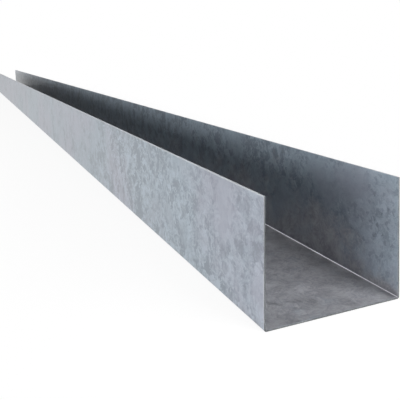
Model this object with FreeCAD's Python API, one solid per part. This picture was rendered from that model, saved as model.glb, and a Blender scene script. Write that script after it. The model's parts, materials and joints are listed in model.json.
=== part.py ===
# Deep-leg drywall track: one length of galvanised steel sheet, roll-formed into a plain channel.
# Millimetres, +Z up. The track lies on its web with its legs up, and its length runs along Y.
# The origin is on the underside of the web, at the middle of its width and length.

import FreeCAD
import Part
import math
import os

# The stud that stands in the channel, 3-5/8 in deep, and the room that it has on the web.
STUD_DEPTH = 92.1
SEAT_CLEARANCE = 1.6

# The legs, from the underside of the web to their free edges, 3 in. Each leans in from upright,
# so that the mouth closes on the stud and holds it until it is screwed.
LEG_HEIGHT = 76.2
LEG_LEAN_DEG = 0.6

# The sheet, 20 gauge drywall steel, its bends and the edges that slitting the coil rounded off.
SHEET_THICKNESS = 0.79
INSIDE_BEND_RADIUS = 0.8
SLIT_EDGE_RADIUS = 0.15

# The stock length, 8 ft.
TRACK_LENGTH = 2438.4

NODE = "drywall_track"


def bend_centre():
    """The centre of the right-hand bend in the section: both faces of the sheet turn about it."""
    inside_width = STUD_DEPTH + SEAT_CLEARANCE
    return FreeCAD.Vector(inside_width / 2 - INSIDE_BEND_RADIUS, 0, SHEET_THICKNESS + INSIDE_BEND_RADIUS)


def on_bend(radius, angle_deg):
    """The point of the right-hand bend at a radius, by its angle above level."""
    angle = math.radians(angle_deg)
    return bend_centre() + FreeCAD.Vector(math.cos(angle), 0, math.sin(angle)) * radius


def leg_tip(radius):
    """The free end of the right leg, on the face of the sheet that has this bend radius."""
    lean = math.radians(LEG_LEAN_DEG)
    outside = on_bend(INSIDE_BEND_RADIUS + SHEET_THICKNESS, LEG_LEAN_DEG)
    flat_length = (LEG_HEIGHT - outside.z) / math.cos(lean)
    up_the_leg = FreeCAD.Vector(-math.sin(lean), 0, math.cos(lean))
    return on_bend(radius, LEG_LEAN_DEG) + up_the_leg * flat_length


def mirrored(point):
    """The same point on the left-hand side of the section."""
    return FreeCAD.Vector(-point.x, point.y, point.z)


def sheet_face(radius):
    """One face of the sheet in section, from the right leg's tip round to the left leg's."""
    tip = leg_tip(radius)
    bend_end = on_bend(radius, LEG_LEAN_DEG)
    bend_middle = on_bend(radius, (LEG_LEAN_DEG - 90) / 2)
    bend_start = on_bend(radius, -90)
    return [
        Part.LineSegment(tip, bend_end).toShape(),
        Part.Arc(bend_end, bend_middle, bend_start).toShape(),
        Part.LineSegment(bend_start, mirrored(bend_start)).toShape(),
        Part.Arc(mirrored(bend_start), mirrored(bend_middle), mirrored(bend_end)).toShape(),
        Part.LineSegment(mirrored(bend_end), mirrored(tip)).toShape(),
    ]


def section():
    """The closed section of the channel: its two faces, joined by the slit edges at the leg tips."""
    inner = INSIDE_BEND_RADIUS
    outer = INSIDE_BEND_RADIUS + SHEET_THICKNESS
    right_edge = Part.LineSegment(leg_tip(inner), leg_tip(outer)).toShape()
    left_edge = Part.LineSegment(mirrored(leg_tip(outer)), mirrored(leg_tip(inner))).toShape()
    outline = sheet_face(inner) + [right_edge] + sheet_face(outer) + [left_edge]
    return Part.Face(Part.Wire(Part.__sortEdges__(outline)))


def runs_along_leg_tip(edge):
    """True for the four long edges at the free ends of the legs."""
    box = edge.BoundBox
    return box.YLength > TRACK_LENGTH / 2 and box.ZMin > LEG_HEIGHT - SHEET_THICKNESS


def drywall_track():
    """The section run out to the stock length, with its slit edges rounded."""
    run = section().extrude(FreeCAD.Vector(0, TRACK_LENGTH, 0))
    run.translate(FreeCAD.Vector(0, -TRACK_LENGTH / 2, 0))
    slit_edges = [edge for edge in run.Edges if runs_along_leg_tip(edge)]
    return run.makeFillet(SLIT_EDGE_RADIUS, slit_edges).Solids[0]


os.makedirs("parts", exist_ok=True)
track = drywall_track()
track.exportStep(os.path.join("parts", NODE + ".step"))
print(NODE, track.ShapeType, "valid", track.isValid(), "volume mm3", round(track.Volume, 1))
print("box mm", track.BoundBox)
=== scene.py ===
"""Drywall track: the looks of one length of galvanised channel, on a pale studio floor. Metres, +Z up."""
import bpy
import json
import math
from mathutils import Matrix, Vector, noise
from types import SimpleNamespace


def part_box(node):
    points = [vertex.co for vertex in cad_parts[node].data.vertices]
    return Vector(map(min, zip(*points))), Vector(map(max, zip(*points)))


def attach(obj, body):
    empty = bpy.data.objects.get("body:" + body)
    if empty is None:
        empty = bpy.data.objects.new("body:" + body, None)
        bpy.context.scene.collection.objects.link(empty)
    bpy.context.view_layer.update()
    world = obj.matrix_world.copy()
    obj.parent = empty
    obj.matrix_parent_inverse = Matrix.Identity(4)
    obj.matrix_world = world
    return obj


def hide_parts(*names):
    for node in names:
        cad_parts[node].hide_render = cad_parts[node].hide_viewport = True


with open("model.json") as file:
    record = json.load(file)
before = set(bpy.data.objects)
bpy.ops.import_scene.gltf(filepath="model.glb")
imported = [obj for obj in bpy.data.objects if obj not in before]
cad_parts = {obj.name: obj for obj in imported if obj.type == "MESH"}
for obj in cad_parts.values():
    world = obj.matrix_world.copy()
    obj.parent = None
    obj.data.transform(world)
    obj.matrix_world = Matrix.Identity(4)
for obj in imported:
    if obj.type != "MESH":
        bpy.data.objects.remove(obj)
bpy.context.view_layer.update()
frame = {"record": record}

NODE = "drywall_track"
MM = 0.001

# Sizes of the track, from the frame
LOW, HIGH = (Vector(corner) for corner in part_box(NODE))
LENGTH = HIGH.y - LOW.y
LEG_HEIGHT = HIGH.z
MOUNTS = {mount["name"]: mount for mount in frame["record"]["mounts"]}
SHEET = MOUNTS["stud_seat"]["pos_m"][2]
LEAN = math.asin(MOUNTS["right_leg_outer_face"]["axis"][2])

# About half the width of the sheet when it lay flat, from its middle to a slit edge
SHEET_HALF = HIGH.x + LEG_HEIGHT

# Bends and slit edges, as rolled, and how near to a bend's curve a point counts as on it
INSIDE_BEND = 0.8 * MM
SLIT_EDGE = 0.15 * MM
ON_CURVE = 0.015 * MM

# How finely the sheet is divided, and the angle from which an edge is shaded as sharp
ROW_COUNT = 200
WEB_STEPS = 24
BEND_STEPS = 10
LEG_STEPS = 20
EDGE_STEPS = 3
SHARP_EDGE = math.radians(40)

# How far thin sheet strays from flat
LEG_WANDER = 0.25 * MM
WEB_RISE = 0.12 * MM

# Its waves per metre: slow ones along a leg, quick ones along and up it, and those across and along the web
LEG_SLOW_WAVES = 2.1
LEG_QUICK_WAVES = (9.0, 14.0)
WEB_WAVES = (12.0, 5.0)

# How strong a leg's quick waves are beside its slow ones, and how high the web usually rises
LEG_QUICK_SHARE = 0.35
WEB_USUAL_RISE = 0.5

# Where in the noise each kind of wave is read
LEG_SLOW_PLACE = (7.3, 0.4)
LEG_QUICK_PLACE = 3.1
WEB_PLACE = 2.7

# The bake's map: the sheet is cut into this many lengths, laid in two columns beside the cut ends' strips
MAP_LENGTHS = 4
MAP_COLUMNS = 2
MAP_GUTTER = 0.004
MAP_USED_WIDTH = 0.98
CAP_STRIP = 0.004

# Sockets of the mix node: its factor, its two colours, and the colour that comes out
MIX_FACTOR = 0
MIX_FIRST = 6
MIX_SECOND = 7
MIX_RESULT = 2

# How far apart the two faces of the sheet are in the space that the patterns are drawn in
FACES_APART = 1.0

# The middle value of a noise or a random number
MIDDLE = 0.5

# Zinc crystals per metre, large and small
LARGE_CRYSTALS = 150.0
SMALL_CRYSTALS = 380.0

# For each crystal: how fine and how far its outline is ragged, and its feathers along three directions
RAGGED_FINENESS = 2.2
RAGGED_REACH = 0.55
RAGGED_DETAIL = 3.0
FEATHERS = (4.0, 0.9, 1.0)
FEATHER_DETAIL = 2.0

# Patterns: how many per metre, how many finer layers each has, and, if not the usual, how strong those are
MOTTLE = (60.0, 4.0, 0.75)
PATCHES = (22.0, 2.0, 0.7)
CHANGES = (1.7, 0.0)
TINTS = (6.0, 1.0)
GRAIN = (1800.0, 2.0)

# Which part of a pattern the sheet shows: of its slow changes, its tints, and the drifts of its dust
CHANGES_SHIFT = (0.0, 3.6, 0.0)
TINT_SHIFT = (0.0, 4.2, 0.0)
DRIFT_SHIFT = (0.0, 2.69, 0.0)

# The share of the large and of the small crystals that are dark, and how light each size is on average
DARK_FLAKES = 0.5
DARK_SPECKS = 0.4
USUAL_FLAKE = 0.75
USUAL_SPECK = 0.8

# How much each pattern adds to the spangle
SPECK_WEIGHT = 0.26
FINE_FEATHER_WEIGHT = 0.6
FLAKE_WEIGHT = 0.3
FEATHER_WEIGHT = 0.9
MOTTLE_WEIGHT = 1.05
PATCH_WEIGHT = -0.85

# The values over which the slow changes come in, and the spangle's strength and usual tone before and after
CHANGES_RISE = (0.54, 0.61)
CONTRAST = (0.85, 2.8)
USUAL_TONE = (0.5, 0.38)

# The values over which the patches come in, and the spangle's strength between them and in them
PATCH_RISE = (0.38, 0.62)
BUSY = (0.3, 1.8)

# How bold the small crystals are inside the channel, next to its rims and away from them
INNER_BOLD = 2.4
INNER_FAINT = 1.3

# How bold the broad mottle is there, by the open ends and deeper in
INNER_MOTTLE = 0.8
DEEP_MOTTLE = 4.2

# How much lighter the zinc there is made by the open ends, as painted light that falls in through them, and
# the colour that darkens it as painted shade away from the slit edges and the open ends
PAINTED_END_LIGHT = 0.3
PAINTED_CHANNEL_SHADE = (0.82, 0.82, 0.82, 1.0)

# Distances over which these change: from a slit edge, from an open end, down a leg by an open end, and
# from an open end to where it is deep in the channel
BY_EDGE = (12 * MM, 34 * MM)
BY_END = (15 * MM, 70 * MM)
BOLD_DOWN_TO = (22 * MM, 50 * MM)
DEEP_FROM = (70 * MM, 330 * MM)

# How much the patches, the inner face and depth in the channel turn the zinc from lilac to teal, and the
# values over which it turns
PATCH_TEAL = 0.5
INNER_TEAL = 0.1
DEEP_TEAL = 0.2
LILAC_RISE = (0.14, 0.36)

# Colours of the zinc
DARK_TEAL = (0.191, 0.226, 0.263, 1.0)
DARK_LILAC = (0.209, 0.222, 0.264, 1.0)
LIGHT_TEAL = (0.336, 0.396, 0.455, 1.0)
LIGHT_LILAC = (0.362, 0.389, 0.455, 1.0)

# Colours of the dust, and the values of its drifts over which it goes from one to the other
DUST_DARK = (0.229, 0.226, 0.242, 1.0)
DUST_LIGHT = (0.355, 0.351, 0.371, 1.0)
DRIFT_RISE = (0.43, 0.57)

# How much the drifts owe to their own noise, and to the large and the small feathers under them
DRIFT_WEIGHT = 0.52
DRIFT_FEATHER = 0.28
DRIFT_FINE_FEATHER = 0.2

# How far up the legs the dust reaches, its thickness up there and on the web, how ragged its upper edge is,
# how much of that comes from the patches and from the mottle each, and how much zinc it covers at most
DUST_REACH = 55 * MM
DUST_THICKNESS = (-0.3, 1.3)
DUST_RAGGED = 5.5
BLOTCH_SHARE = 0.5
DUST_MOST = 0.9

# The height up a leg within which dust is left by the open ends, where hands wipe it off
DUST_CLEAN_RISE = 5 * MM

# The distance from an open end over which the dust thins out, and the share of it that lies deeper in
DUST_FADE = (120 * MM, 600 * MM)
DUST_DEEP = 0.35

# Where the rubbed middle of an inside bend starts, as a share of its radius, and its finish: burnished zinc
# whose pale colour is also a painted highlight, the bright line that light makes along the bend
BURNISH_AND_HIGHLIGHT_FROM = 0.4
BURNISHED_HIGHLIGHT = (0.93, 0.92, 0.98, 1.0)
BURNISHED_HIGHLIGHT_ROUGH = 0.3
BURNISHED_HIGHLIGHT_METAL = 0.9

# How far from a slit edge or a cut end the zinc is worn, its colour there, and the values of the mottle
# over which the wear at the ends comes in
WORN_EDGE = 0.9 * MM
WORN = (0.49, 0.52, 0.55, 1.0)
WORN_RISE = (0.4, 0.6)

# Colour of the sheared ends
SHEARED = (0.078, 0.084, 0.087, 1.0)

# Roughness of the zinc: the least, and what its crystals and its patches add
LEAST_ROUGH = 0.28
CRYSTAL_ROUGH = 0.05
PATCH_ROUGH = 0.05

# How metallic the weathered zinc is: the least, and what each size of crystal adds
LEAST_METAL = 0.25
CRYSTAL_METAL = 0.15

# How far the crystals tilt on each face, and the bump of the grain
INNER_TILT = 0.1
OUTER_TILT = 0.05
GRAIN_STRENGTH = 0.15
GRAIN_HEIGHT = 0.1 * MM

# The camera: place from the near end's middle, turn, and the view's crop in shares of its width
CAMERA_FROM_NEAR_END = Vector((-193.5, -256.6, 155.9)) * MM
CAMERA_YAW = math.radians(-23.30)
CAMERA_PITCH = math.radians(5.27)
CAMERA_ROLL = math.radians(-1.22)
CAMERA_LENS_MM = 50.28
CAMERA_SHIFT_DOWN = 0.25
CAMERA_SIGHT = 200.0

# The floor: its size, its matt paint, the share of plain white that it shows next to the track, and how far
# from the track it is all white
FLOOR_RADIUS = 60.0
FLOOR_SIDES = 64
FLOOR_PAINT = (0.92, 0.92, 0.92, 1.0)
FLOOR_WHITE = 0.92
FLOOR_SHADOW_REACH = 0.3
WHITE = (1.0, 1.0, 1.0, 1.0)

# The studio round it: a white wall and a dim ceiling, by the sine of their height
WALL_TOP = math.sin(math.radians(10))
CEILING_START = math.sin(math.radians(22))
CEILING = 0.02

# Softboxes: place, target, size, and brightness as a number of times white
SOFTBOXES = {
    "left_strip": ((-4.0, -2.0, 0.3), (0.0, -2.0, 0.3), (2.4, 0.6), 14.5),
    "left_upper_strip": ((-4.0, -3.2, 0.9), (0.0, -3.2, 0.9), (4.0, 0.6), 7.3),
    "near_softbox": ((0.0, -1.6, 1.0), (0.0, -1.2, 0.0), (0.7, 0.5), 5.2),
    "right_softbox": ((0.75, -2.4, 0.5), (0.0, -1.2, 0.04), (1.1, 0.66), 20.5),
    "back_softbox": ((-1.5, 4.3, 4.0), (0.0, -1.2, 0.0), (4.2, 2.2), 1.15),
}


def bend_point(radius, angle):
    """A point (x, z) of the right-hand bend, by its radius and its angle above level."""
    centre_x = HIGH.x - SHEET - INSIDE_BEND
    centre_z = SHEET + INSIDE_BEND
    return centre_x + radius * math.cos(angle), centre_z + radius * math.sin(angle)


def on_inner_bend(x, z):
    """True for a point of the section in the middle of a bend's curved inside, which the rolls rubbed and
    which carries a painted highlight line.
    """
    centre_x, centre_z = bend_point(0.0, 0.0)
    across = abs(x) - centre_x
    inside = abs(math.hypot(across, z - centre_z) - INSIDE_BEND) < ON_CURVE
    burnish_and_highlight_start = INSIDE_BEND * BURNISH_AND_HIGHLIGHT_FROM
    return inside and across > burnish_and_highlight_start and z < centre_z - burnish_and_highlight_start


def leg_length():
    """Length of the flat of a leg, from the end of the bend to where its slit edge starts to turn."""
    _, outer_z = bend_point(INSIDE_BEND + SHEET, LEAN)
    return (LEG_HEIGHT - outer_z) / math.cos(LEAN) - SLIT_EDGE


def face_points(radius):
    """The right half of one face of the sheet in section, from the web's middle to the slit edge."""
    points = []
    flat_end, face_z = bend_point(radius, -math.pi / 2)
    for step in range(WEB_STEPS // 2):
        points.append((flat_end * step / (WEB_STEPS // 2), face_z))
    turn = math.pi / 2 + LEAN
    for step in range(BEND_STEPS):
        points.append(bend_point(radius, -math.pi / 2 + turn * step / BEND_STEPS))
    start_x, start_z = bend_point(radius, LEAN)
    whole = leg_length()
    steps = [(whole - WORN_EDGE) * step / LEG_STEPS for step in range(LEG_STEPS + 1)]
    for along in steps + [whole]:
        points.append((start_x - along * math.sin(LEAN), start_z + along * math.cos(LEAN)))
    return points


def edge_points():
    """The right leg's slit edge in section, from the inner face round to the outer one."""
    inner_x, inner_z = face_points(INSIDE_BEND)[-1]
    across = Vector((math.cos(LEAN), math.sin(LEAN)))
    up = Vector((-math.sin(LEAN), math.cos(LEAN)))
    points = []
    for middle_share, start in ((SLIT_EDGE, math.pi), (SHEET - SLIT_EDGE, math.pi / 2)):
        middle = Vector((inner_x, inner_z)) + across * middle_share
        for step in range(EDGE_STEPS + 1):
            angle = start - math.pi / 2 * step / EDGE_STEPS
            points.append(tuple(middle + (across * math.cos(angle) + up * math.sin(angle)) * SLIT_EDGE))
    return points[1:-1]


def mirrored(points):
    """The points of the other half of the section, in the opposite order."""
    return [(-x, z) for x, z in reversed(points)]


def section_outline():
    """The closed section, from the left slit edge over the inner face, and back by the outer face."""
    inner = face_points(INSIDE_BEND)
    outer = face_points(INSIDE_BEND + SHEET)
    inner_run = mirrored(inner[1:]) + inner
    outer_run = mirrored(outer[1:]) + outer
    outline = inner_run + edge_points() + outer_run[::-1] + mirrored(edge_points())
    return outline, len(inner_run)


def wander(x, y, z):
    """How far the sheet strays at a point: the legs sideways, more towards their free edges, the web up."""
    side = math.copysign(1.0, x)
    height_share = z / LEG_HEIGHT
    slow_x, slow_z = LEG_SLOW_PLACE
    slow = noise.noise(Vector((side * slow_x, y * LEG_SLOW_WAVES, slow_z)))
    quick_along, quick_up = LEG_QUICK_WAVES
    quick = noise.noise(Vector((side * LEG_QUICK_PLACE, y * quick_along, z * quick_up)))
    leg_shift = LEG_WANDER * height_share * (slow + LEG_QUICK_SHARE * quick)
    web_share = max(0.0, 1.0 - (x / HIGH.x) ** 2) if z < 2 * SHEET else 0.0
    web_across, web_along = WEB_WAVES
    web_wave = noise.noise(Vector((x * web_across, y * web_along, WEB_PLACE)))
    web_lift = WEB_RISE * web_share * (WEB_USUAL_RISE + web_wave)
    return Vector((leg_shift, 0.0, max(0.0, web_lift)))


def outline_lengths(outline):
    """The distance round the section from its first point to each point, and back to the first."""
    lengths = [0.0]
    for here, there in zip(outline, outline[1:] + outline[:1]):
        lengths.append(lengths[-1] + math.dist(here, there))
    return lengths


def row_places():
    """Where each row of points lies along the track."""
    return [LOW.y + LENGTH * row / ROW_COUNT for row in range(ROW_COUNT + 1)]


def sheet_places(outline, inner_count):
    """Where each point of the outline lies on the sheet before it was rolled: across from its middle, and
    the face, from 0 inside to 1 outside."""
    lengths = outline_lengths(outline)
    middle = lengths[inner_count // 2]
    across = [length - middle for length in lengths[:inner_count]]
    edge_count = len(outline) // 2 - inner_count
    shares = [(step + 1) / (edge_count + 1) for step in range(edge_count)]
    inner_side = [(place, 0.0) for place in across]
    outer_side = [(place, 1.0) for place in reversed(across)]
    right_edge = [(across[-1], share) for share in shares]
    left_edge = [(across[0], share) for share in reversed(shares)]
    return inner_side + right_edge + outer_side + left_edge


def map_place(row, around_share, length_index):
    """Where a row and a share of the way round the section lie on the bake's map, in one of its lengths."""
    rows_each = ROW_COUNT // MAP_LENGTHS
    column = length_index % MAP_COLUMNS
    line = length_index // MAP_COLUMNS
    cell_width = MAP_USED_WIDTH / MAP_COLUMNS
    cell_height = MAP_COLUMNS / MAP_LENGTHS
    along = (row - length_index * rows_each) / rows_each
    u = column * cell_width + MAP_GUTTER + along * (cell_width - 2 * MAP_GUTTER)
    v = line * cell_height + MAP_GUTTER + around_share * (cell_height - 2 * MAP_GUTTER)
    return u, v


def sheet_faces(outline):
    """The faces round and along the sheet, and where their corners lie on the bake's map."""
    count = len(outline)
    lengths = outline_lengths(outline)
    shares = [length / lengths[-1] for length in lengths]
    faces = []
    places = []
    for row in range(ROW_COUNT):
        length_index = row * MAP_LENGTHS // ROW_COUNT
        first = row * count
        following = first + count
        for index in range(count):
            after = (index + 1) % count
            faces.append((first + index, first + after, following + after, following + index))
            start = shares[index]
            end = shares[index + 1]
            for step, share in ((0, start), (0, end), (1, end), (1, start)):
                places.append(map_place(row + step, share, length_index))
    return faces, places


def add_cap(faces, places, cap, first, inner_count, count):
    """A cut end: quads from the inner face across to the outer face, and a small face at each slit edge."""
    edge_count = (count - 2 * inner_count) // 2
    left = MAP_USED_WIDTH + CAP_STRIP * (1 + 2 * cap)
    right = left + CAP_STRIP

    def outer(index):
        return 2 * inner_count + edge_count - 1 - index

    def keep(face, spots):
        if cap:
            face = face[::-1]
            spots = spots[::-1]
        faces.append(tuple(first + index for index in face))
        places.extend(spots)

    for index in range(inner_count - 1):
        low = index / inner_count
        high = (index + 1) / inner_count
        keep((index + 1, index, outer(index), outer(index + 1)),
             [(left, high), (left, low), (right, low), (right, high)])
    right_edge = list(range(inner_count - 1, inner_count + edge_count + 1))
    left_edge = list(range(2 * inner_count + edge_count - 1, count)) + [0]
    for edge, height in ((right_edge, 1.0), (left_edge, 0.0)):
        spots = [(left + (right - left) * step / (len(edge) - 1), height) for step in range(len(edge))]
        keep(tuple(reversed(edge)), spots[::-1])


def add_attributes(mesh, outline, inner_count, side_count):
    """What the material reads: places on the flat sheet, and the bends, slit edges and cut ends."""
    flat = []
    for y in row_places():
        for across, face in sheet_places(outline, inner_count):
            flat.extend((across, y, face * FACES_APART))
    mesh.attributes.new("sheet", "FLOAT_VECTOR", "POINT").data.foreach_set("vector", flat)
    is_bend = [1.0 if on_inner_bend(x, z) else 0.0 for x, z in outline]
    is_edge = [1.0 if z > LEG_HEIGHT - SLIT_EDGE else 0.0 for x, z in outline]
    for name, shares in (("bend", is_bend), ("edge", is_edge)):
        mesh.attributes.new(name, "FLOAT", "POINT").data.foreach_set("value", shares * (ROW_COUNT + 1))
    is_cut = [0.0] * side_count + [1.0] * (len(mesh.polygons) - side_count)
    mesh.attributes.new("cut", "FLOAT", "FACE").data.foreach_set("value", is_cut)


def track_mesh():
    """The sheet as one closed mesh: the section run along the length, with its two cut ends."""
    outline, inner_count = section_outline()
    count = len(outline)
    vertices = [Vector((x, y, z)) + wander(x, y, z) for y in row_places() for x, z in outline]
    faces, places = sheet_faces(outline)
    side_count = len(faces)
    for cap, row in enumerate((0, ROW_COUNT)):
        add_cap(faces, places, cap, row * count, inner_count, count)
    mesh = bpy.data.meshes.new("track_sheet")
    mesh.from_pydata(vertices, [], faces)
    add_attributes(mesh, outline, inner_count, side_count)
    layer = mesh.uv_layers.new(name="OFBake")
    for corner, place in zip(layer.uv, places):
        corner.vector = place
    mesh.update()
    return mesh


def node(tree, kind, inputs=(), **settings):
    """Adds a shader node with its settings, and sets or links its inputs."""
    made = tree.nodes.new(kind)
    for name, value in settings.items():
        setattr(made, name, value)
    for key, value in dict(inputs).items():
        if isinstance(value, bpy.types.NodeSocket):
            tree.links.new(value, made.inputs[key])
        else:
            made.inputs[key].default_value = value
    return made


def new_material(name):
    """A material with no nodes yet, and its tree."""
    material = bpy.data.materials.new(name)
    material.use_nodes = True
    material.node_tree.nodes.clear()
    return material, material.node_tree


def calculate(tree, operation, *values, clamp=False):
    """The result of a sum on numbers, each a socket or a fixed value."""
    made = node(tree, "ShaderNodeMath", enumerate(values), operation=operation, use_clamp=clamp)
    return made.outputs[0]


def calculate_vector(tree, operation, *values):
    """The result of a sum on vectors, each a socket or a fixed value."""
    return node(tree, "ShaderNodeVectorMath", enumerate(values), operation=operation).outputs[0]


def ramp(tree, value, start, end, low=0.0, high=1.0, kind="LINEAR"):
    """A number that goes from low to high as the value goes from start to end."""
    inputs = {"Value": value, "From Min": start, "From Max": end, "To Min": low, "To Max": high}
    return node(tree, "ShaderNodeMapRange", inputs, interpolation_type=kind).outputs["Result"]


def weighted(tree, parts, start=0.0):
    """The sum of sockets times their weights, and of a start."""
    total = start
    for socket, weight in parts:
        total = calculate(tree, "MULTIPLY_ADD", socket, weight, total)
    return total


def centred_sum(tree, parts):
    """The sum of sockets times their weights, less the sum of their usual values times their weights."""
    middle = sum(weight * usual for _, weight, usual in parts)
    return weighted(tree, [(socket, weight) for socket, weight, _ in parts], -middle)


def blend_value(tree, factor, low, high):
    """A number between two, by a factor."""
    made = node(tree, "ShaderNodeMix", {"Factor": factor, "A": low, "B": high}, data_type="FLOAT")
    return made.outputs["Result"]


def blend_colour(tree, factor, low, high, kind="MIX"):
    """A colour between two, or the first times the second, by a factor."""
    inputs = {MIX_FACTOR: factor, MIX_FIRST: low, MIX_SECOND: high}
    made = node(tree, "ShaderNodeMix", inputs, data_type="RGBA", blend_type=kind)
    return made.outputs[MIX_RESULT]


def attribute(tree, name, output="Fac"):
    """What the mesh says at a point."""
    return node(tree, "ShaderNodeAttribute", attribute_name=name).outputs[output]


def noise_pattern(tree, place, scale, detail, roughness=0.5, output="Fac"):
    """A noise with so many features per metre, finer layers, and strength of those."""
    inputs = {"Vector": place, "Scale": scale, "Detail": detail, "Roughness": roughness}
    return node(tree, "ShaderNodeTexNoise", inputs).outputs[output]


def mixed_up(tree, place, scale, reach):
    """The place, pushed about by noise, so that what is drawn there has ragged outlines."""
    push = noise_pattern(tree, place, scale, RAGGED_DETAIL, output="Color")
    centred = calculate_vector(tree, "SUBTRACT", push, (MIDDLE,) * 3)
    return calculate_vector(tree, "MULTIPLY_ADD", centred, (reach,) * 3, place)


def crystals(tree, sheet, scale):
    """Zinc crystals of one size: their random numbers, and the feathering that runs its own way in each."""
    ragged = mixed_up(tree, sheet, RAGGED_FINENESS * scale, RAGGED_REACH / scale)
    cells = node(tree, "ShaderNodeTexVoronoi", {"Vector": ragged, "Scale": scale, "Randomness": 1.0})
    colour = cells.outputs["Color"]
    numbers = node(tree, "ShaderNodeSeparateColor", {"Color": colour}).outputs
    heading = calculate(tree, "MULTIPLY", numbers[1], math.pi)
    turned = node(tree, "ShaderNodeVectorRotate", {"Vector": sheet, "Angle": heading},
                  rotation_type="Z_AXIS")
    drawn = calculate_vector(tree, "MULTIPLY", turned.outputs[0], [count * scale for count in FEATHERS])
    feather = noise_pattern(tree, drawn, 1.0, FEATHER_DETAIL)
    return SimpleNamespace(colour=colour, numbers=numbers, feather=feather)


def inner_face(tree, sheet):
    """1 on the face of the sheet that is inside the channel, else 0."""
    apart = node(tree, "ShaderNodeSeparateXYZ", {0: sheet}).outputs
    return calculate(tree, "GREATER_THAN", FACES_APART / 2, apart["Z"])


def rim_nearness(tree, sheet, axis, rim, band):
    """How near a place is to the rims across one axis of the sheet, from 0 to 1 within a band."""
    apart = node(tree, "ShaderNodeSeparateXYZ", {0: sheet}).outputs
    away = calculate(tree, "ABSOLUTE", apart[axis])
    return ramp(tree, away, rim - band[1], rim - band[0])


def sheet_patterns(tree):
    """The patterns that the looks are made from, drawn over the sheet as it lay flat."""
    sheet = attribute(tree, "sheet", "Vector")

    def shifted(shift):
        return calculate_vector(tree, "ADD", sheet, shift)

    return SimpleNamespace(
        sheet=sheet,
        large=crystals(tree, sheet, LARGE_CRYSTALS),
        small=crystals(tree, sheet, SMALL_CRYSTALS),
        mottle=noise_pattern(tree, sheet, *MOTTLE),
        patches=noise_pattern(tree, sheet, *PATCHES),
        changes=noise_pattern(tree, shifted(CHANGES_SHIFT), *CHANGES),
        tints=noise_pattern(tree, shifted(TINT_SHIFT), *TINTS),
        drifts=noise_pattern(tree, shifted(DRIFT_SHIFT), *MOTTLE),
        grain=noise_pattern(tree, sheet, *GRAIN),
        inside=inner_face(tree, sheet),
        by_edge=rim_nearness(tree, sheet, "X", SHEET_HALF, BY_EDGE),
        by_end=rim_nearness(tree, sheet, "Y", HIGH.y, BY_END),
        not_deep=rim_nearness(tree, sheet, "Y", HIGH.y, DEEP_FROM),
    )


def fine_spangle(tree, on):
    """The small crystals, bolder inside the channel by its slit edges and its upper ends."""
    specks = ramp(tree, on.small.numbers[0], 0.0, DARK_SPECKS, kind="SMOOTHSTEP")
    fine = centred_sum(tree, [(specks, SPECK_WEIGHT, USUAL_SPECK),
                              (on.small.feather, FINE_FEATHER_WEIGHT, MIDDLE)])
    upper_leg = rim_nearness(tree, on.sheet, "X", SHEET_HALF, BOLD_DOWN_TO)
    upper_end = calculate(tree, "MULTIPLY", upper_leg, on.by_end)
    by_rim = calculate(tree, "MAXIMUM", on.by_edge, upper_end)
    inner_share = blend_value(tree, by_rim, INNER_FAINT, INNER_BOLD)
    return calculate(tree, "MULTIPLY", fine, blend_value(tree, on.inside, 1.0, inner_share))


def broad_spangle(tree, on):
    """The large crystals and the mottle, bolder deep in the channel."""
    flakes = ramp(tree, on.large.numbers[0], 0.0, DARK_FLAKES, kind="SMOOTHSTEP")
    broad = centred_sum(tree, [(flakes, FLAKE_WEIGHT, USUAL_FLAKE),
                               (on.large.feather, FEATHER_WEIGHT, MIDDLE),
                               (on.mottle, MOTTLE_WEIGHT, MIDDLE),
                               (on.patches, PATCH_WEIGHT, MIDDLE)])
    inner_share = blend_value(tree, on.not_deep, DEEP_MOTTLE, INNER_MOTTLE)
    return calculate(tree, "MULTIPLY", broad, blend_value(tree, on.inside, 1.0, inner_share))


def zinc_tone(tree, on):
    """How light the zinc is, from dark at 0 to light at 1, with painted light on the inner face by the open
    ends.
    """
    spangle = calculate(tree, "ADD", fine_spangle(tree, on), broad_spangle(tree, on))
    contrast = ramp(tree, on.changes, *CHANGES_RISE, *CONTRAST)
    busy = ramp(tree, on.patches, *PATCH_RISE, *BUSY)
    swing = calculate(tree, "MULTIPLY", contrast, busy)
    usual = ramp(tree, on.changes, *CHANGES_RISE, *USUAL_TONE)
    tone = calculate(tree, "MULTIPLY_ADD", spangle, swing, usual)
    # Painted light: the inner face is made lighter by the open ends, as if lit through them
    painted_end_light_share = calculate(tree, "MULTIPLY", on.inside, on.by_end)
    return calculate(tree, "MULTIPLY_ADD", painted_end_light_share, PAINTED_END_LIGHT, tone)


def zinc_colour(tree, on):
    """Zinc that goes from lilac to teal in slow tints, darkened with painted shade inside the channel away
    from its rims.
    """
    deep = calculate(tree, "SUBTRACT", on.inside, on.not_deep, clamp=True)
    lilac = weighted(tree, [(on.tints, 1.0), (on.patches, -PATCH_TEAL), (on.inside, -INNER_TEAL),
                            (deep, -DEEP_TEAL)])
    hue = ramp(tree, lilac, *LILAC_RISE)
    dark = blend_colour(tree, hue, DARK_TEAL, DARK_LILAC)
    light = blend_colour(tree, hue, LIGHT_TEAL, LIGHT_LILAC)
    zinc = blend_colour(tree, zinc_tone(tree, on), dark, light)
    # Painted shade: the inner face is made darker away from its slit edges and open ends
    rims = calculate(tree, "MAXIMUM", on.by_edge, on.by_end)
    painted_shade_share = calculate(tree, "SUBTRACT", on.inside, rims, clamp=True)
    return blend_colour(tree, painted_shade_share, zinc, PAINTED_CHANNEL_SHADE, "MULTIPLY")


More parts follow.
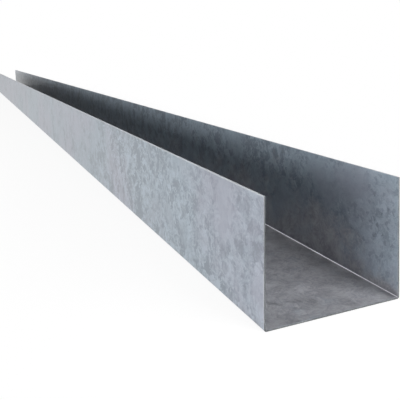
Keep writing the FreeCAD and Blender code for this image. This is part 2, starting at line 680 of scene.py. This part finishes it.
def dust_share(tree, on):
    """How much dust lies on the sheet: patchy, on the web inside the channel and some way up the legs."""
    apart = node(tree, "ShaderNodeSeparateXYZ", {0: on.sheet}).outputs
    across = calculate(tree, "ABSOLUTE", apart["X"])
    thin, thick = (thickness - DUST_RAGGED * MIDDLE for thickness in DUST_THICKNESS)
    settled = ramp(tree, across, HIGH.x + DUST_REACH, HIGH.x, thin, thick)
    blotches = weighted(tree, [(on.patches, BLOTCH_SHARE), (on.mottle, BLOTCH_SHARE)])
    ragged = calculate(tree, "MULTIPLY_ADD", blotches, DUST_RAGGED, settled)
    up_leg = ramp(tree, across, HIGH.x, HIGH.x + DUST_CLEAN_RISE)
    wiped = calculate(tree, "MULTIPLY", up_leg, on.by_end)
    left_over = calculate(tree, "SUBTRACT", ragged, wiped)
    cover = ramp(tree, left_over, 0.0, 1.0, 0.0, DUST_MOST)
    kept = calculate(tree, "MULTIPLY", cover, on.inside)
    near_end = rim_nearness(tree, on.sheet, "Y", HIGH.y, DUST_FADE)
    return calculate(tree, "MULTIPLY", kept, blend_value(tree, near_end, DUST_DEEP, 1.0))


def dust_colour(tree, on):
    """Dust that has settled in light and dark drifts."""
    drifts = weighted(tree, [(on.drifts, DRIFT_WEIGHT), (on.large.feather, DRIFT_FEATHER),
                             (on.small.feather, DRIFT_FINE_FEATHER)])
    return blend_colour(tree, ramp(tree, drifts, *DRIFT_RISE), DUST_DARK, DUST_LIGHT)


def edge_wear(tree, on):
    """How much the zinc is worn: along the slit edges, and unevenly next to the cut ends."""
    near_end = rim_nearness(tree, on.sheet, "Y", HIGH.y, (0.0, WORN_EDGE))
    uneven = calculate(tree, "MULTIPLY", near_end, ramp(tree, on.mottle, *WORN_RISE))
    return calculate(tree, "MAXIMUM", attribute(tree, "edge"), uneven)


def crystal_relief(tree, on):
    """The surface's direction: each large crystal tilts its own way, under a fine grain."""
    facing = node(tree, "ShaderNodeNewGeometry").outputs["Normal"]
    tilt = calculate_vector(tree, "SUBTRACT", on.large.colour, (MIDDLE,) * 3)
    steep = blend_value(tree, on.inside, OUTER_TILT, INNER_TILT)
    tilted = calculate_vector(tree, "MULTIPLY_ADD", tilt, steep, facing)
    relief = node(tree, "ShaderNodeBump", {"Strength": GRAIN_STRENGTH, "Distance": GRAIN_HEIGHT,
                                           "Height": on.grain,
                                           "Normal": calculate_vector(tree, "NORMALIZE", tilted)})
    return relief.outputs["Normal"]


def galvanised_steel():
    """Galvanised sheet: feathered zinc crystals, dusty in the channel, worn at its edges, and burnished at
    its inside bends in a pale colour that is also a painted highlight line.
    """
    material, tree = new_material("galvanised_steel")
    on = sheet_patterns(tree)
    burnish_and_highlight = attribute(tree, "bend")
    dusty = blend_colour(tree, dust_share(tree, on), zinc_colour(tree, on), dust_colour(tree, on))
    # Painted highlight: the pale burnished colour on the inside bends stands in for the bright line that
    # light makes there
    with_bend_highlight = blend_colour(tree, burnish_and_highlight, dusty, BURNISHED_HIGHLIGHT)
    worn = blend_colour(tree, edge_wear(tree, on), with_bend_highlight, WORN)
    colour = blend_colour(tree, attribute(tree, "cut"), worn, SHEARED)
    rough = weighted(tree, [(on.large.numbers[1], CRYSTAL_ROUGH), (on.patches, PATCH_ROUGH)], LEAST_ROUGH)
    metal = weighted(tree, [(on.large.numbers[2], CRYSTAL_METAL), (on.small.numbers[2], CRYSTAL_METAL)],
                     LEAST_METAL)
    shader = node(tree, "ShaderNodeBsdfPrincipled",
                  {"Base Color": colour,
                   "Roughness": blend_value(tree, burnish_and_highlight, rough, BURNISHED_HIGHLIGHT_ROUGH),
                   "Metallic": blend_value(tree, burnish_and_highlight, metal, BURNISHED_HIGHLIGHT_METAL),
                   "Normal": crystal_relief(tree, on)})
    node(tree, "ShaderNodeOutputMaterial", {"Surface": shader.outputs[0]})
    return material


def floor_material():
    """A plain pale floor that keeps a soft shadow near the track, and that metal shows as white."""
    material, tree = new_material("pale_floor")
    matt = node(tree, "ShaderNodeBsdfDiffuse", {"Color": FLOOR_PAINT})
    white = node(tree, "ShaderNodeEmission", {"Color": WHITE, "Strength": 1.0})
    place = node(tree, "ShaderNodeTexCoord").outputs["Object"]
    apart = calculate_vector(tree, "ABSOLUTE", place)
    apart = calculate_vector(tree, "SUBTRACT", apart, (HIGH.x, HIGH.y, 0.0))
    apart = calculate_vector(tree, "MAXIMUM", apart, (0.0, 0.0, 0.0))
    away = node(tree, "ShaderNodeVectorMath", {0: apart}, operation="LENGTH").outputs["Value"]
    paling = ramp(tree, away, 0.0, FLOOR_SHADOW_REACH, FLOOR_WHITE, 1.0)
    rays = node(tree, "ShaderNodeLightPath").outputs
    shown = calculate(tree, "MULTIPLY", rays["Is Camera Ray"], paling)
    reflected = calculate(tree, "MAXIMUM", rays["Is Glossy Ray"], rays["Is Transmission Ray"])
    share = calculate(tree, "MAXIMUM", shown, reflected)
    surface = node(tree, "ShaderNodeMixShader", {0: share, 1: matt.outputs[0], 2: white.outputs[0]})
    node(tree, "ShaderNodeOutputMaterial", {"Surface": surface.outputs[0]})
    return material


def add_track():
    """The track, in place of its CAD node."""
    track = bpy.data.objects.new("galvanised_track", track_mesh())
    bpy.context.scene.collection.objects.link(track)
    track.data.shade_smooth()
    track.data.set_sharp_from_angle(angle=SHARP_EDGE)
    track.data.materials.append(galvanised_steel())
    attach(track, "root")
    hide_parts(NODE)


def add_floor():
    """A round floor that reaches the horizon."""
    bpy.ops.mesh.primitive_circle_add(vertices=FLOOR_SIDES, radius=FLOOR_RADIUS, fill_type="NGON")
    floor = bpy.context.object
    floor.name = "floor"
    floor.data.materials.append(floor_material())


def add_softbox(name, place, target, size, radiance):
    """An area lamp of a given size that faces its target, as bright as that many times white."""
    data = bpy.data.lights.new(name, "AREA")
    data.shape = "RECTANGLE"
    data.size, data.size_y = size
    data.energy = radiance * math.pi * size[0] * size[1]
    lamp = bpy.data.objects.new(name, data)
    bpy.context.scene.collection.objects.link(lamp)
    lamp.visible_camera = False
    aim = Vector(target) - Vector(place)
    lamp.matrix_world = Matrix.Translation(place) @ aim.to_track_quat("-Z", "Y").to_matrix().to_4x4()


def add_light():
    """A world that is white up to the top of the wall and dim above, and the softboxes."""
    world = bpy.data.worlds.new("studio")
    bpy.context.scene.world = world
    world.use_nodes = True
    tree = world.node_tree
    background = tree.nodes["Background"]
    background.inputs["Color"].default_value = WHITE
    direction = node(tree, "ShaderNodeTexCoord").outputs["Generated"]
    height = node(tree, "ShaderNodeSeparateXYZ", {0: direction}).outputs["Z"]
    level = ramp(tree, height, WALL_TOP, CEILING_START, 1.0, CEILING, "SMOOTHSTEP")
    tree.links.new(level, background.inputs["Strength"])
    for name, settings in SOFTBOXES.items():
        add_softbox(name, *settings)


def add_camera():
    """The camera, in front of the near end and above it, looking along the track."""
    data = bpy.data.cameras.new("camera")
    data.lens = CAMERA_LENS_MM
    data.shift_y = -CAMERA_SHIFT_DOWN
    data.clip_end = CAMERA_SIGHT
    camera = bpy.data.objects.new("camera", data)
    bpy.context.scene.collection.objects.link(camera)
    level = Vector((-math.sin(CAMERA_YAW), math.cos(CAMERA_YAW), 0.0))
    side = Vector((math.cos(CAMERA_YAW), math.sin(CAMERA_YAW), 0.0))
    ahead = level * math.cos(CAMERA_PITCH) - Vector((0.0, 0.0, math.sin(CAMERA_PITCH)))
    above = side.cross(ahead)
    right = side * math.cos(CAMERA_ROLL) + above * math.sin(CAMERA_ROLL)
    up = above * math.cos(CAMERA_ROLL) - side * math.sin(CAMERA_ROLL)
    turn = Matrix((right, up, -ahead)).transposed().to_4x4()
    near_end = Vector((0.0, LOW.y, 0.0))
    camera.matrix_world = Matrix.Translation(near_end + CAMERA_FROM_NEAR_END) @ turn
    bpy.context.scene.camera = camera


bpy.context.scene.view_settings.view_transform = "Standard"
add_track()
add_floor()
add_light()
add_camera()
